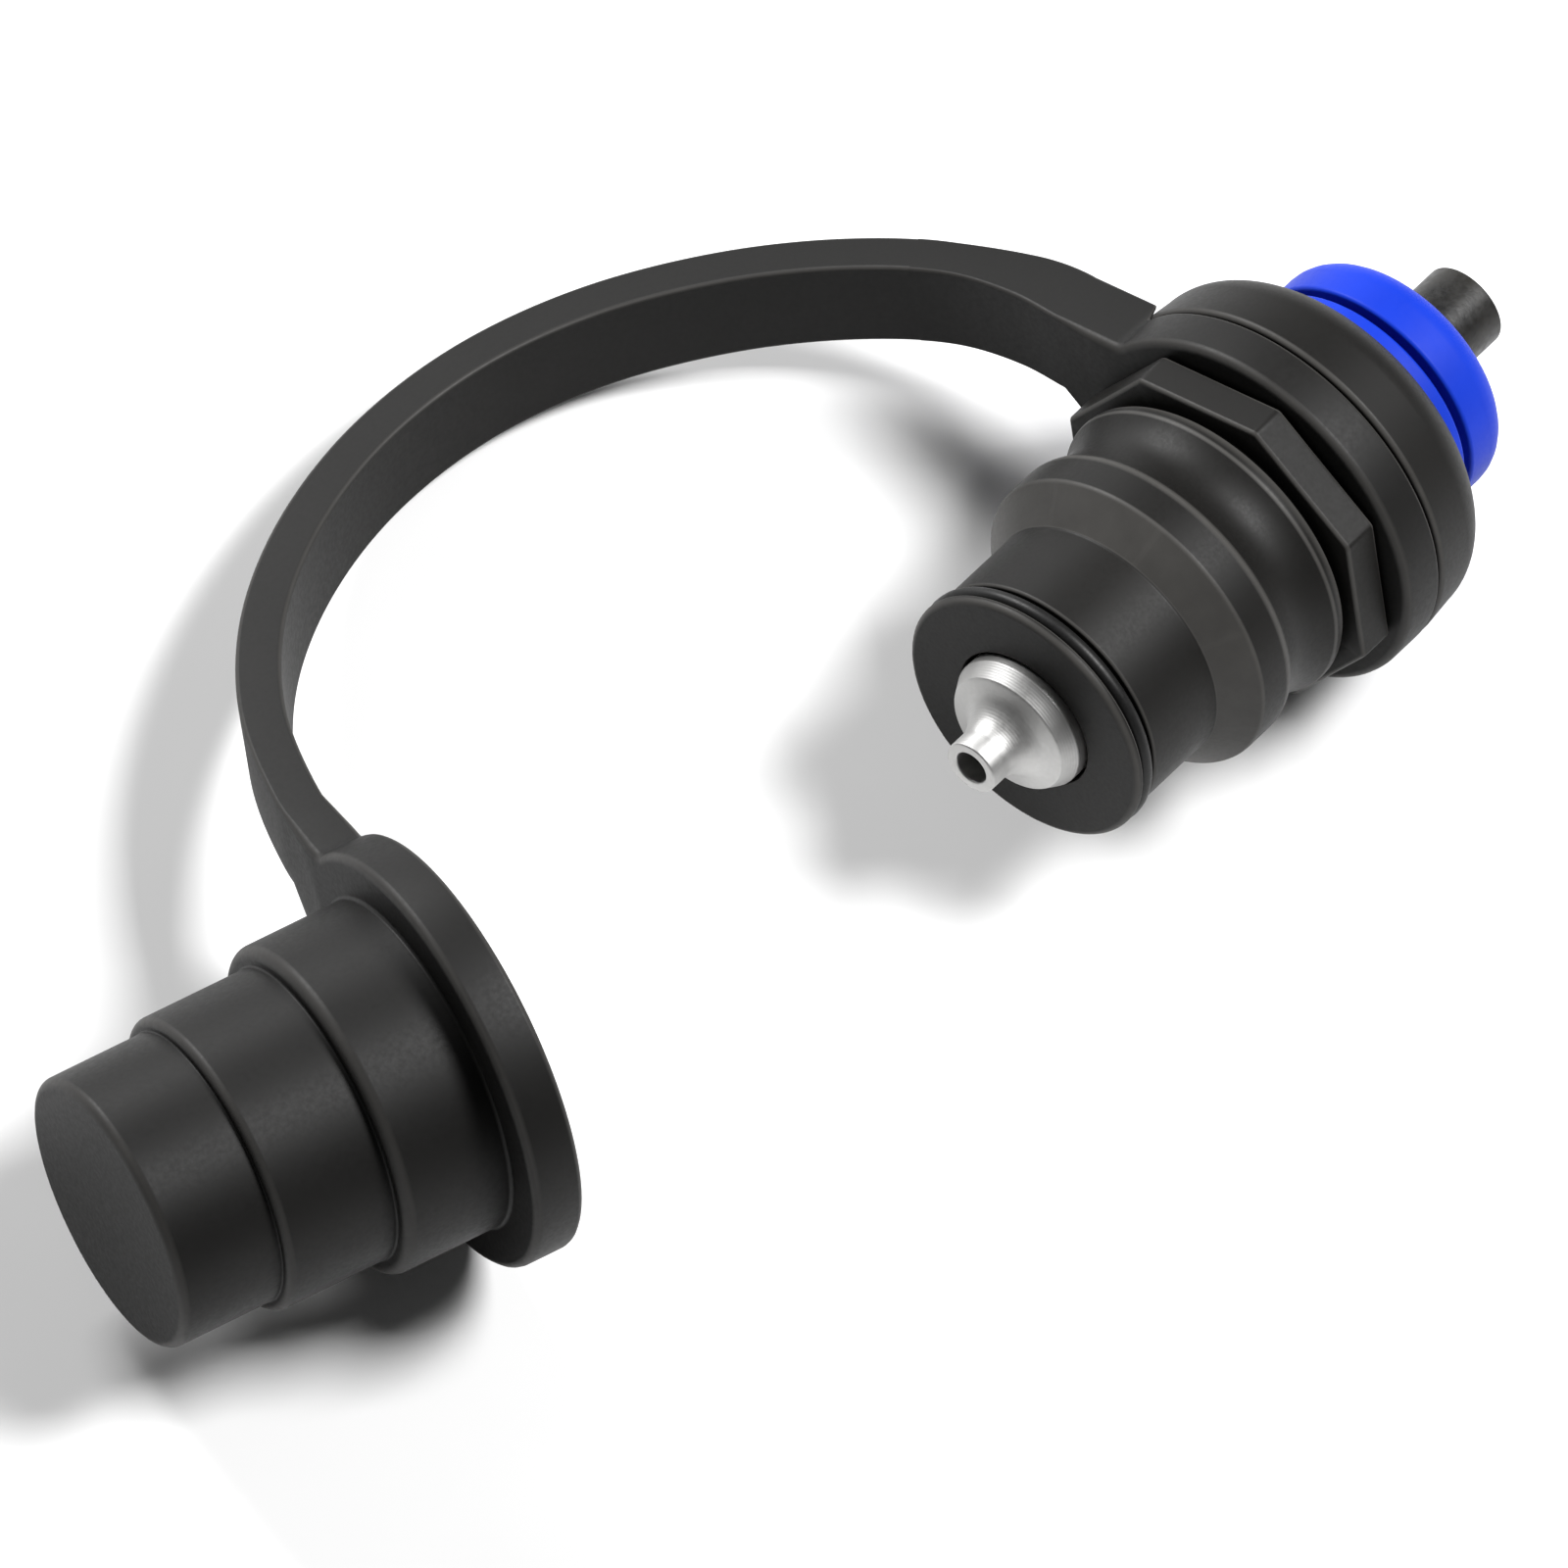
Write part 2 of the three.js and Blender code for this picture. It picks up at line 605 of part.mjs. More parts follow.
function dustCap() {
  const outside = [
    [capMouth, capFlangeRadius - capFlangeRound],
    [capMouth + capFlangeRound, capFlangeRadius],
    ...arc(capFlangeFront - capFlangeRound, capFlangeRadius - capFlangeRound, capFlangeRound, 90, 0, 2),
  ];
  const inside = [];
  let x = capFlangeFront;
  let boreFrom = capMouth;
  for (const { radius, length, round } of capSteps) {
    const last = radius === capSteps.at(-1).radius;
    const stepEnd = x + length;
    outside.push([x, radius]);
    outside.push(...arc(stepEnd - round, radius - round, round, 90, 0, 3));
    const boreTo = last ? stepEnd - capEndWall : stepEnd - capWall;
    inside.push([boreFrom, radius - capWall], [boreTo, radius - capWall]);
    boreFrom = boreTo;
    x = stepEnd;
  }
  const outline = [...outside, [x, 0], [boreFrom, 0], ...inside.reverse()];
  const cap = new THREE.Group();
  cap.position.set(capPlace[0], capPlace[1], 0);
  cap.rotation.z = THREE.MathUtils.degToRad(capTurn);
  cap.updateMatrix();
  const stub = strapStretch(routeLength - capStub, routeLength - strapSink, true, false);
  stub.applyMatrix4(cap.matrix.clone().invert());
  const hollow = turned([[capMouth - 1, 0], [capMouth - 1, capSteps[0].radius - capWall],
    [capFlangeFront + 2, capSteps[0].radius - capWall], [capFlangeFront + 2, 0]]);
  const tail = solidOf(stub).subtract(solidOf(hollow));
  cap.add(piece('dust_cap', geometryOf(solidOf(turned(outline)).add(tail)), rubber));
  return cap;
}

// ---- assembly ------------------------------------------------------------------------------------
const coupling = new THREE.Group();
coupling.add(plugBody());
coupling.add(oRing('nose_o_ring', (noseGrooveFront + noseGrooveBack) / 2,
  noseGrooveRadius + ringSqueeze + noseRingSection / 2, noseRingSection));
coupling.add(oRing('spigot_o_ring', (spigotGrooveFront + spigotGrooveBack) / 2, bodyRingRadius, bodyRingSection));
coupling.add(poppet());
coupling.add(oRing('poppet_o_ring', (headBack + poppetFlangeFront) / 2,
  poppetGrooveRadius + ringSqueeze + poppetRingSection / 2, poppetRingSection));
coupling.add(valveGuide());
coupling.add(guideCirclip());
coupling.add(valveSpring());
coupling.add(rearHousing());
coupling.add(oRing('tube_o_ring', (tubeRingFront + tubeRingBack) / 2,
  tubeRadius + ringSqueeze + tubeRingSection / 2, tubeRingSection));
coupling.add(backupWasher());
coupling.add(grabRing());
coupling.add(colletRetainer());
coupling.add(releaseCollet());
coupling.add(tubeStub());
coupling.add(strapEye());
for (let number = 1; number <= strapLinks; number++) coupling.add(strapLink(number));
coupling.add(dustCap());

// The object lies on a surface at z = 0, centred on the origin.
coupling.rotation.set(THREE.MathUtils.degToRad(lieRoll), THREE.MathUtils.degToRad(liePitch), 0);
const bounds = new THREE.Box3().setFromObject(coupling, true);
const middle = bounds.getCenter(new THREE.Vector3());
coupling.position.set(-middle.x, -middle.y, -bounds.min.z);

export default coupling;
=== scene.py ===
import json
import math

import bmesh
import bpy
from mathutils import Matrix, Vector
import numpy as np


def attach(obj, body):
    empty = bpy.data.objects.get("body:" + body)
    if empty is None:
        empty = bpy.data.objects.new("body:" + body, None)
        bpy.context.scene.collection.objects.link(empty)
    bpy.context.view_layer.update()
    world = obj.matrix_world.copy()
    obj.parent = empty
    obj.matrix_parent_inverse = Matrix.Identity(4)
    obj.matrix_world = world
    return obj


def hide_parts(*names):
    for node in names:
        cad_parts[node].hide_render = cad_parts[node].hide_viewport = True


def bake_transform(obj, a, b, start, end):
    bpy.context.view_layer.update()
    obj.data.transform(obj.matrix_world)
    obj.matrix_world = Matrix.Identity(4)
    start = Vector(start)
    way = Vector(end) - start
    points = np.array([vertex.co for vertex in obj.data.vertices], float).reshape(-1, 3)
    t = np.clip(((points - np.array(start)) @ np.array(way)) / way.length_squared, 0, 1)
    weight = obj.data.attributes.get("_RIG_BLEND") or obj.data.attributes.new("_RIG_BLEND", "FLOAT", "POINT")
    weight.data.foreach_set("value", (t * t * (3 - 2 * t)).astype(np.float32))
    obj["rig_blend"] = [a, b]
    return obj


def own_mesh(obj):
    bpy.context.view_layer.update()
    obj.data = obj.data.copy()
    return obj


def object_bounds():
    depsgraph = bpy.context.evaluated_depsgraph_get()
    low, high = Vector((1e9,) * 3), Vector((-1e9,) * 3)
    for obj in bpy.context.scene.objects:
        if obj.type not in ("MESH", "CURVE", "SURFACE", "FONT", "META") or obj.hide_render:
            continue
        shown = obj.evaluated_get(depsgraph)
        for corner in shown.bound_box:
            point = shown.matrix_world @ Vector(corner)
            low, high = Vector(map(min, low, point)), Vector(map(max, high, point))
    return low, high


# Quick-release coupling plug with its dust cap on a rubber strap. Lengths in the dictionaries are
# millimetres in the plug's own frame: x runs out of the nose, the strap bends in planes of constant z,
# and x = 0 is the middle of the strap's eye.

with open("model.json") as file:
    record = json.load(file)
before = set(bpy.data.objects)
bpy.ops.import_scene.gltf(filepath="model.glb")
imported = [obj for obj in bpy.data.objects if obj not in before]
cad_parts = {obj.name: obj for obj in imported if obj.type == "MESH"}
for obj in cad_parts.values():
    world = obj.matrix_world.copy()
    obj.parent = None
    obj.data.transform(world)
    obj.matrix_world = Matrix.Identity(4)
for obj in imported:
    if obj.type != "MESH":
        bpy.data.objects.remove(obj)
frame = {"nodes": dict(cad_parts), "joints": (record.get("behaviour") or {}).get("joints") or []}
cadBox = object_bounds()
scene = bpy.context.scene
mm = 0.001

jointNamed = {joint["name"]: joint for joint in frame["joints"]}
noseWay = Vector(jointNamed["eye_swivel"]["axis"]).normalized()
strapSide = Vector(jointNamed["strap_bend"]["axis"]).normalized()
plugFrame = Matrix((noseWay, strapSide.cross(noseWay).normalized(), strapSide)).transposed().to_4x4()
plugFrame.translation = Vector(jointNamed["eye_swivel"]["pos_m"])


def inRow(point):
    return plugFrame @ (Vector(point) * mm)


smoothness = {
    "sides": 144, "smallSides": 96, "cordSides": 20,  # facets round a turned piece, a slim one, a seal's cord
    "arcStep": 15.0, "leastSteps": 4, "edgeShare": 0.8,  # a round: degrees a facet, fewest, share of an edge
    "discSides": 120, "filletSteps": 8, "tabShares": (0.2, 0.5, 1.0),  # eye and cap: rim, fillet, tab's top side
    "lengthSteps": 20, "flareSteps": 18, "domeSteps": 20,  # along a stretch of strap, the poppet, the housing
}


# Points of an outline whose corners are (x, radius from the axis) or (x, radius, round). A third number
# in a point is how much it is painted paler, for handling wear and a painted edge highlight: 1 in the middle of
# an outward round, else 0.
def roundedOutline(corners, loop=True):
    spin = sum(a[0] * b[1] - b[0] * a[1] for a, b in zip(corners, [*corners[1:], corners[0]]))
    outline = []
    for index, corner in enumerate(corners):
        here = Vector(corner[:2])
        radius = corner[2] if len(corner) > 2 else 0
        atEnd = not loop and index in (0, len(corners) - 1)
        if not radius or atEnd:
            outline.append((*here, 0.0))
            continue
        toLast = Vector(corners[index - 1][:2]) - here
        toNext = Vector(corners[(index + 1) % len(corners)][:2]) - here
        half = toLast.angle(toNext) / 2
        room = min(toLast.length, toNext.length) * smoothness["edgeShare"]
        reach = min(radius / math.tan(half), room)
        middle = here + (toLast.normalized() + toNext.normalized()).normalized() * (reach / math.cos(half))
        first = here + toLast.normalized() * reach - middle
        last = here + toNext.normalized() * reach - middle
        turn = first.angle_signed(last)
        steps = max(smoothness["leastSteps"], math.ceil(abs(math.degrees(turn)) / smoothness["arcStep"]))
        outward = turn * spin < 0
        for step in range(steps + 1):
            point = middle + Matrix.Rotation(-turn * step / steps, 2) @ first
            outline.append((*point, math.sin(math.pi * step / steps) if outward else 0.0))
    return outline


def evenAngles(sides=None):
    sides = sides or smoothness["sides"]
    return [2 * math.pi * side / sides for side in range(sides)]


def ringAt(x, radius, angles):
    if radius < 1e-6:
        return [(x, 0, 0)]
    return [(x, radius * math.cos(angle), radius * math.sin(angle)) for angle in angles]


# a closed skin over rings of points, from each ring to the next, and with loop from the last to the first
def skinOf(rings, loop, leaveOut=lambda row, side: False, edgeWearSheens=None):
    bm = bmesh.new()
    # each point keeps how much it is painted paler: edge wear and a painted highlight
    edgeWearSheen = bm.verts.layers.float.new("edgeWearSheen")
    rows = []
    for ring, amount in zip(rings, edgeWearSheens or [0.0] * len(rings)):
        rows.append([bm.verts.new(Vector(point) * mm) for point in ring])
        for vert in rows[-1]:
            vert[edgeWearSheen] = amount
    pairs = list(zip(rows, rows[1:])) + ([(rows[-1], rows[0])] if loop else [])
    for index, (near, far) in enumerate(pairs):
        count = max(len(near), len(far))
        for side in range(count):
            if leaveOut(index, side):
                continue
            after = (side + 1) % count
            around = ((near, side), (near, after), (far, after), (far, side))
            bm.faces.new(dict.fromkeys(row[turn % len(row)] for row, turn in around))
    loose = [vert for vert in bm.verts if not vert.link_faces]
    bmesh.ops.delete(bm, geom=loose, context="VERTS")
    return bm


def pieceFrom(name, bm, finish, place=plugFrame):
    bmesh.ops.recalc_face_normals(bm, faces=bm.faces)
    mesh = bpy.data.meshes.new(name)
    bm.to_mesh(mesh)
    bm.free()
    mesh.shade_smooth()
    mesh.materials.append(finish)
    piece = bpy.data.objects.new(name, mesh)
    scene.collection.objects.link(piece)
    piece.matrix_world = place
    piece.modifiers.new("evenNormals", "WEIGHTED_NORMAL").keep_sharp = True
    return piece


def turnedPiece(name, corners, finish, body, nodes, sides=None, loop=True):
    angles = evenAngles(sides)
    outline = roundedOutline(corners, loop)
    rings = [ringAt(x, radius, angles) for x, radius, _ in outline]
    piece = pieceFrom(name, skinOf(rings, loop, edgeWearSheens=[point[2] for point in outline]), finish)
    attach(piece, body)
    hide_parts(*nodes)
    return piece


class Nodes:
    def __init__(self, name):
        self.material = bpy.data.materials.new(name)
        self.material.use_nodes = True
        self.tree = self.material.node_tree
        self.shader = self.tree.nodes["Principled BSDF"]
        self.place = self.add("ShaderNodeTexCoord").outputs["Object"]

    def add(self, kind, **settings):
        node = self.tree.nodes.new(kind)
        for key, value in settings.items():
            if key in node.inputs:
                node.inputs[key].default_value = value
            else:
                setattr(node, key, value)
        return node

    def join(self, output, socket):
        self.tree.links.new(output, socket)

    def noise(self, scale, detail=3.0, roughness=0.5):
        node = self.add("ShaderNodeTexNoise", Scale=scale, Detail=detail, Roughness=roughness)
        self.join(self.place, node.inputs["Vector"])
        return node.outputs["Fac"]

    def spread(self, source, low, high, floor=0.3, roof=0.7):
        limits = {"From Min": floor, "From Max": roof, "To Min": low, "To Max": high}
        node = self.add("ShaderNodeMapRange", **limits)
        self.join(source, node.inputs["Value"])
        return node.outputs["Result"]

    def times(self, first, second):
        node = self.add("ShaderNodeMath", operation="MULTIPLY")
        self.join(first, node.inputs[0])
        if isinstance(second, float):
            node.inputs[1].default_value = second
        else:
            self.join(second, node.inputs[1])
        return node.outputs[0]

    def blendColours(self, source, first, second):
        node = self.add("ShaderNodeMix", data_type="RGBA")
        for socket, colour in ((node.inputs[6], first), (node.inputs[7], second)):
            if isinstance(colour, tuple):
                socket.default_value = (*colour, 1)
            else:
                self.join(colour, socket)
        self.join(source, node.inputs[0])
        return node.outputs[2]

    def bump(self, height, depth, strength, under=None):
        node = self.add("ShaderNodeBump", Strength=strength, Distance=depth)
        self.join(height, node.inputs["Height"])
        if under:
            self.join(under, node.inputs["Normal"])
        return node.outputs["Normal"]


# fineness against a finish's own patches, and strength
moulding = {"wearSheenFineness": 5, "wearSheenUneven": (0.85, 1.0), "waveFineness": 6, "waveStrength": 0.5}


def mouldedFinish(name, look):
    nodes = Nodes(name)
    patches = nodes.spread(nodes.noise(look["patchScale"], 4), 0, 1)
    grain = nodes.noise(look["grainScale"], 2, 0.6)
    colour = nodes.blendColours(patches, look["dark"], look["light"])
    if "edgeWearSheen" in look:  # outward rounds are painted paler: wear from handling and a painted highlight along the edge
        edge = nodes.add("ShaderNodeAttribute", attribute_name="edgeWearSheen").outputs["Fac"]
        uneven = nodes.spread(nodes.noise(look["patchScale"] * moulding["wearSheenFineness"]), *moulding["wearSheenUneven"])
        wearSheenShare = nodes.times(nodes.times(edge, uneven), look["edgeWearSheen"])
        colour = nodes.blendColours(wearSheenShare, colour, look["wearSheenPale"])
    nodes.join(colour, nodes.shader.inputs["Base Color"])
    nodes.join(nodes.spread(grain, *look["gloss"]), nodes.shader.inputs["Roughness"])
    waves = nodes.noise(look["patchScale"] * moulding["waveFineness"])
    coarse = nodes.bump(waves, look["waveDepth"], moulding["waveStrength"])
    fine = nodes.bump(grain, look["grainDepth"], look["grainStrength"], coarse)
    nodes.join(fine, nodes.shader.inputs["Normal"])
    nodes.shader.inputs["Specular IOR Level"].default_value = look["shine"]
    return nodes.material


# blackMoulding and strapRubber paint their outward rounds paler, for handling wear and a painted edge highlight
blackMoulding = mouldedFinish("blackMoulding", {
    "dark": (0.0045, 0.0042, 0.0038), "light": (0.0062, 0.0058, 0.0052), "patchScale": 90, "grainScale": 2600,
    "gloss": (0.48, 0.55), "grainDepth": 0.00002, "grainStrength": 0.12, "waveDepth": 0.00001, "shine": 0.2,
    "edgeWearSheen": 0.9, "wearSheenPale": (0.055, 0.053, 0.050)})
strapRubber = mouldedFinish("strapRubber", {
    "dark": (0.004, 0.0038, 0.0035), "light": (0.0056, 0.0053, 0.0049), "patchScale": 70, "grainScale": 2100,
    "gloss": (0.48, 0.56), "grainDepth": 0.00002, "grainStrength": 0.14, "waveDepth": 0.00001, "shine": 0.2,
    "edgeWearSheen": 0.9, "wearSheenPale": (0.04, 0.0385, 0.0365)})
sealRubber = mouldedFinish("sealRubber", {
    "dark": (0.004, 0.004, 0.004), "light": (0.008, 0.008, 0.008), "patchScale": 160, "grainScale": 3000,
    "gloss": (0.4, 0.5), "grainDepth": 0.00002, "grainStrength": 0.3, "waveDepth": 0.00001, "shine": 0.25})
blackNylon = mouldedFinish("blackNylon", {
    "dark": (0.006, 0.006, 0.006), "light": (0.016, 0.015, 0.013), "patchScale": 260, "grainScale": 1500,
    "gloss": (0.34, 0.5), "grainDepth": 0.00004, "grainStrength": 0.4, "waveDepth": 0.00003, "shine": 0.35})
blueAcetal = mouldedFinish("blueAcetal", {
    "dark": (0.004, 0.026, 0.36), "light": (0.006, 0.036, 0.46), "patchScale": 80, "grainScale": 2300,
    "gloss": (0.46, 0.54), "grainDepth": 0.00002, "grainStrength": 0.15, "waveDepth": 0.00001, "shine": 0.12})
whiteAcetal = mouldedFinish("whiteAcetal", {
    "dark": (0.62, 0.60, 0.55), "light": (0.72, 0.70, 0.65), "patchScale": 90, "grainScale": 2400,
    "gloss": (0.38, 0.5), "grainDepth": 0.00003, "grainStrength": 0.3, "waveDepth": 0.00002, "shine": 0.45})


# turning lines that waver a little, under a fine grain
turning = {"waver": 0.6, "lineDetail": 2.0, "lineStrength": 0.35, "grainDepth": 0.00002, "grainStrength": 0.25}


def metalFinish(name, look):
    nodes = Nodes(name)
    clouds = nodes.spread(nodes.noise(look["patchScale"], 4), 0, 1)
    nodes.join(nodes.blendColours(clouds, look["dark"], look["light"]), nodes.shader.inputs["Base Color"])
    grain = nodes.noise(look["grainScale"], 2)
    lines = nodes.add("ShaderNodeTexWave", bands_direction="X", Scale=look["lineScale"],
                      Distortion=turning["waver"], Detail=turning["lineDetail"])
    nodes.join(nodes.place, lines.inputs["Vector"])
    nodes.join(nodes.spread(grain, *look["gloss"]), nodes.shader.inputs["Roughness"])
    turned = nodes.bump(lines.outputs["Fac"], look["lineDepth"], turning["lineStrength"])
    fine = nodes.bump(grain, turning["grainDepth"], turning["grainStrength"], turned)
    nodes.join(fine, nodes.shader.inputs["Normal"])
    nodes.shader.inputs["Metallic"].default_value = 1.0
    return nodes.material


satinSteel = metalFinish("satinSteel", {
    "dark": (0.42, 0.418, 0.412), "light": (0.50, 0.497, 0.49), "patchScale": 140, "grainScale": 2600,
    "lineScale": 1400, "lineDepth": 0.00001, "gloss": (0.46, 0.54)})
springSteel = metalFinish("springSteel", {
    "dark": (0.38, 0.38, 0.38), "light": (0.52, 0.52, 0.51), "patchScale": 200, "grainScale": 2600,
    "lineScale": 900, "lineDepth": 0.00001, "gloss": (0.22, 0.34)})
print("finishes made")

# the plug body from its spigot to the nose, turned in one, and back through the valve bore
plug = {
    "flats": 8, "flange": (2.5, 6.2), "flangeAbove": 14.6, "cornerRound": 0.7,
    "nearCorner": [0, 0.35, 0.7, 1.0, 1.4, 2.4, 4.2, 6.8, 9.6, 12.4, 15.2, 18.0, 20.6],  # degrees from a corner
    "cone": (18.6, 21.6), "coneAbove": 12.25, "coneWearSheen": 1.0,  # the latch ring's cone is painted paler all round: wear from the socket and a painted highlight
    "outside": [
        (-5.7, 12.2, 0.3), (-4.9, 12.2, 0.1), (-4.9, 10.7, 0.1), (-3.4, 10.7, 0.1), (-3.4, 12.2, 0.1),
        (2.5, 12.2), (2.5, 15.6, 0.4), (6.2, 15.6, 0.4), (6.2, 13.5, 0.2), (6.7, 13.5, 0.15),
        (6.7, 15.0, 1.3), (8.3, 15.0, 1.0), (11.4, 13.3, 5.0), (15.0, 15.1, 2.2), (18.6, 15.1, 0.7),
        (21.6, 12.2, 0.5), (30.1, 12.2, 0.3), (30.1, 11.0, 0.15), (32.1, 11.0, 0.15), (32.1, 12.6, 0.25),
        (33.0, 12.6, 0.6)],
    "inside": [
        (33.0, 7.0, 0.2), (30.4, 7.0, 0.2), (28.7, 9.2, 0.2), (12.1, 9.2, 0.15), (12.1, 9.9, 0.1),
        (9.35, 9.9), (9.35, 10.6), (7.85, 10.6), (7.85, 9.9), (-5.7, 9.9, 0.4)],
}


# degrees that half a flat of the wrench flange takes
halfFlat = 180 / plug["flats"]


def flatsRadius(apothem, angle):
    fromCorner = (math.degrees(angle) % (2 * halfFlat)) - halfFlat
    across = math.radians(halfFlat)
    corner = plug["cornerRound"]
    swing = math.radians(abs(fromCorner))
    centre = (apothem - corner) / math.cos(across)
    if math.sin(swing) * apothem / math.cos(across - swing) > corner * math.sin(across):
        return apothem / math.cos(across - swing)
    return centre * math.cos(swing) + math.sqrt(max(0.0, corner ** 2 - (centre * math.sin(swing)) ** 2))


def plugBody():
    swings = sorted({sign * swing for swing in plug["nearCorner"] for sign in (-1, 1)} | {-halfFlat})
    angles = [math.radians(halfFlat * (2 * flat + 1) + swing)
              for flat in range(plug["flats"]) for swing in swings]
    flangeFrom, flangeTo = plug["flange"]
    coneFrom, coneTo = plug["cone"]
    hair = 0.01
    rings, edgeWearSheens = [], []
    for x, radius, edgeWearSheen in roundedOutline(plug["outside"] + plug["inside"]):
        if flangeFrom - hair <= x <= flangeTo + hair and radius > plug["flangeAbove"]:
            reaches = [flatsRadius(radius, angle) for angle in angles]
            rings.append([(x, r * math.cos(angle), r * math.sin(angle)) for r, angle in zip(reaches, angles)])
        else:
            rings.append(ringAt(x, radius, angles))
        # the latch cone gets the full painted paleness: socket wear and a painted highlight
        onCone = coneFrom < x < coneTo and radius > plug["coneAbove"]
        edgeWearSheens.append(max(edgeWearSheen, plug["coneWearSheen"]) if onCone else edgeWearSheen)
    body = pieceFrom("plug_body_moulding", skinOf(rings, True, edgeWearSheens=edgeWearSheens), blackMoulding)
    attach(body, "plug")
    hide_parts("plug_body")


plugBody()

# the sprung valve in the nose: poppet, seals, spring
valve = {
    "rim": 35.3, "rimRadius": 5.6, "nozzleFoot": 38.5, "nozzle": 2.6, "flarePower": 1.7,
    "behind": [
        (7.4, 0.0), (7.4, 2.6, 0.4), (25.6, 2.6, 0.3), (25.6, 8.2, 0.2), (27.4, 8.2, 0.2), (27.4, 6.0, 0.1),
        (29.7, 6.0, 0.1), (29.7, 6.7, 0.15), (33.7, 6.7, 0.4), (35.2, 5.9, 0.3)],
    "tip": [(40.3, 2.6, 0.2), (40.3, 1.6, 0.2), (31.3, 1.6), (30.8, 0.0)],
}


def poppetOutline():
    flare = []
    for step in range(smoothness["flareSteps"] + 1):
        along = step / smoothness["flareSteps"]
        sweep = 1 - math.sqrt(1 - (1 - along) ** valve["flarePower"])
        x = valve["rim"] + (valve["nozzleFoot"] - valve["rim"]) * along
        flare.append((x, valve["nozzle"] + (valve["rimRadius"] - valve["nozzle"]) * sweep))
    return valve["behind"] + flare + valve["tip"]


turnedPiece("poppet_steel", poppetOutline(), satinSteel, "poppet", ["poppet"],
            smoothness["smallSides"], loop=False)


# middle along the plug's axis and outer radius of a node of the part
def ringSizes(node):
    toPlug = plugFrame.inverted()
    points = [toPlug @ vert.co / mm for vert in frame["nodes"][node].data.vertices]
    radii = [math.hypot(point.y, point.z) for point in points]
    along = [point.x for point in points]
    return (min(along) + max(along)) / 2, max(radii)


# body and cord of each seal
sealRings = {
    "nose_o_ring": ("plug", 1.4), "poppet_o_ring": ("poppet", 2.0),
    "spigot_o_ring": ("plug", 1.2), "tube_o_ring": ("plug", 1.8)}
for node, (body, cord) in sealRings.items():
    middle, outer = ringSizes(node)
    circle = [(middle + cord / 2 * math.cos(turn), outer - cord / 2 + cord / 2 * math.sin(turn))
              for turn in evenAngles(smoothness["cordSides"])]
    turnedPiece(node.replace("_o_ring", "_seal"), circle, sealRubber, body, [node])

spring = {"from": 12.6, "to": 24.8, "radius": 6.2, "wire": 0.5, "turns": 5.5, "flat": 0.75,
          "steps": 24, "bevel": 5}


def valveSpring():
    curve = bpy.data.curves.new("spring_wire", "CURVE")
    curve.dimensions = "3D"
    curve.bevel_depth = spring["wire"] * mm
    curve.bevel_resolution = spring["bevel"]
    curve.use_fill_caps = True
    count = round(spring["turns"] * spring["steps"])
    line = curve.splines.new("POLY")
    line.points.add(count)
    pitchTurns = spring["turns"] - 2 * spring["flat"]  # the end coils lie close
    for index in range(count + 1):
        turns = spring["turns"] * index / count
        rise = min(max((turns - spring["flat"]) / pitchTurns, 0.0), 1.0)
        lead = 2 * spring["wire"] * spring["flat"]
        ends = (min(turns, spring["flat"]) + max(0.0, turns - spring["turns"] + spring["flat"])) / spring["flat"]
        x = spring["from"] + lead * ends + (spring["to"] - spring["from"] - 2 * lead) * rise
        angle = 2 * math.pi * turns
        line.points[index].co = (x * mm, spring["radius"] * math.cos(angle) * mm,
                                 spring["radius"] * math.sin(angle) * mm, 1)
    wire = bpy.data.objects.new("wire", curve)
    scene.collection.objects.link(wire)
    bpy.context.view_layer.update()
    mesh = bpy.data.meshes.new_from_object(wire.evaluated_get(bpy.context.evaluated_depsgraph_get()))
    bpy.data.objects.remove(wire)
    bm = bmesh.new()
    bm.from_mesh(mesh)
    coil = pieceFrom("valve_spring_wire", bm, springSteel)
    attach(coil, "plug")
    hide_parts("valve_spring")
    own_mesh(coil)


valveSpring()
print("plug body and valve made")

# rear housing, the blue band and button, the tube they hold
housing = {
    "rim": -2.5, "shoulder": -6.3, "end": -11.4,
    "radius": 18.1, "shoulderRadius": 17.7, "endRadius": 11.9, "fall": 1.15,
    "inside": [
        (-11.4, 11.9, 0.2), (-11.4, 8.6, 0.15), (-10.1, 8.6), (-10.1, 6.15), (-8.0, 6.15), (-8.0, 4.3),
        (-7.0, 4.3), (-7.0, 2.9, 0.1), (-6.0, 2.9, 0.1), (-6.0, 12.45), (-2.5, 12.45, 0.3)],
}


def housingOutline():
    shoulder = []
    drop = housing["shoulderRadius"] - housing["endRadius"]
    for step in range(smoothness["domeSteps"]):
        turn = math.pi / 2 * step / smoothness["domeSteps"]
        x = housing["shoulder"] + (housing["end"] - housing["shoulder"]) * math.sin(turn)
        shoulder.append((x, housing["endRadius"] + drop * math.cos(turn) ** housing["fall"]))
    return [(housing["rim"], housing["radius"], 0.5)] + shoulder + housing["inside"]


turnedPiece("rear_housing_moulding", housingOutline(), blackMoulding, "plug",
            ["rear_housing"])

band = [(-13.8, 6.55, 0.2), (-13.8, 11.85, 0.35), (-11.7, 11.85, 0.25), (-11.7, 6.55, 0.2)]
turnedPiece("blue_band", band, blueAcetal, "plug", ["collet_retainer"])

button = [
    (-19.7, 4.3), (-20.05, 4.7, 0.2), (-20.05, 5.2, 0.2), (-20.3, 5.7, 0.2), (-20.3, 11.9, 3.0),
    (-14.6, 11.9, 0.35), (-14.6, 6.3, 0.3), (-13.0, 6.3, 0.7), (-13.0, 4.3, 0.1)]
turnedPiece("blue_button", button, blueAcetal, "collet", ["release_collet"])

